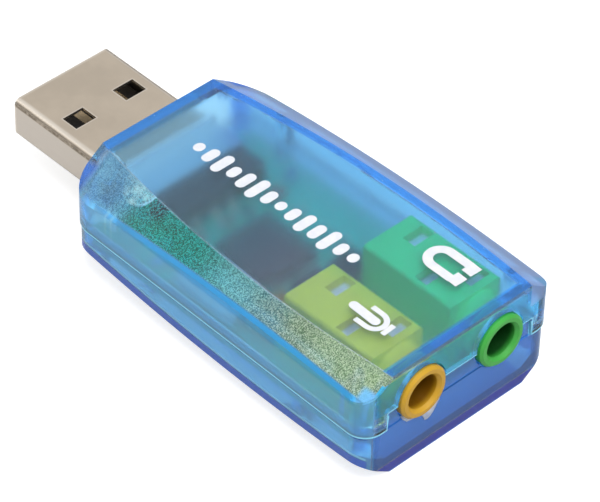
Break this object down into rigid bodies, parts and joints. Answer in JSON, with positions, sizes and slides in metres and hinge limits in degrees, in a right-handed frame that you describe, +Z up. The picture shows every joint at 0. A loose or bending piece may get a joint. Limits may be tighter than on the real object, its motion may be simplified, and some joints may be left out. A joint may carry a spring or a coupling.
{
  "type": "usb sound card",
  "caption": "Stick-shaped USB sound card: a USB-A plug at one end and green and yellow 3.5 mm audio jacks at the other, in a clear blue housing.",
  "frame": {"origin": "centre of the part in plan, on its flat bottom face", "axes": "+X along the part, from the USB plug to the jacks; +Y to the headphone jack's side; +Z up, out of the printed face"},
  "size_m": [0.0546, 0.0238, 0.0121],
  "materials": {
    "housing_upper": "clear blue moulded plastic, frosted bevels",
    "housing_lower": "clear blue moulded plastic",
    "board": "green solder mask",
    "plug_metal": "nickel plated, satin",
    "black_plastic": "satin",
    "gold": "gold plated",
    "green_plastic": "satin",
    "yellow_plastic": "satin",
    "spring_metal": "bright",
    "chip_plastic": "matt moulding compound",
    "tinned_metal": "tinned",
    "can_metal": "satin",
    "yellow_capacitor": "matt",
    "tan_ceramic": "matt",
    "dark_ceramic": "matt",
    "led_plastic": "clear tinted",
    "solder": "bright, smooth"
  },
  "bodies": {
    "root": {"upper_shell": "housing_upper", "lower_shell": "housing_lower", "circuit_board": "board", "usb_shell": "plug_metal", "usb_insulator": "black_plastic", "usb_contact_power": "gold", "usb_contact_data_minus": "gold", "usb_contact_data_plus": "gold", "usb_contact_ground": "gold", "headphone_jack_body": "green_plastic", "headphone_sleeve_contact": "spring_metal", "headphone_ring_contact": "spring_metal", "headphone_tip_contact": "spring_metal", "microphone_jack_body": "yellow_plastic", "microphone_sleeve_contact": "spring_metal", "microphone_ring_contact": "spring_metal", "microphone_tip_contact": "spring_metal", "audio_chip": "chip_plastic", "audio_chip_pins": "tinned_metal", "crystal_base": "tinned_metal", "crystal_can": "can_metal", "crystal_leads": "tinned_metal", "power_capacitor": "yellow_capacitor", "output_capacitors": "chip_plastic", "capacitor_terminals": "tinned_metal", "ceramic_capacitors": "tan_ceramic", "resistors": "dark_ceramic", "component_terminals": "tinned_metal", "status_led": "led_plastic", "solder_joints": "solder"}
  },
  "joints": []
}
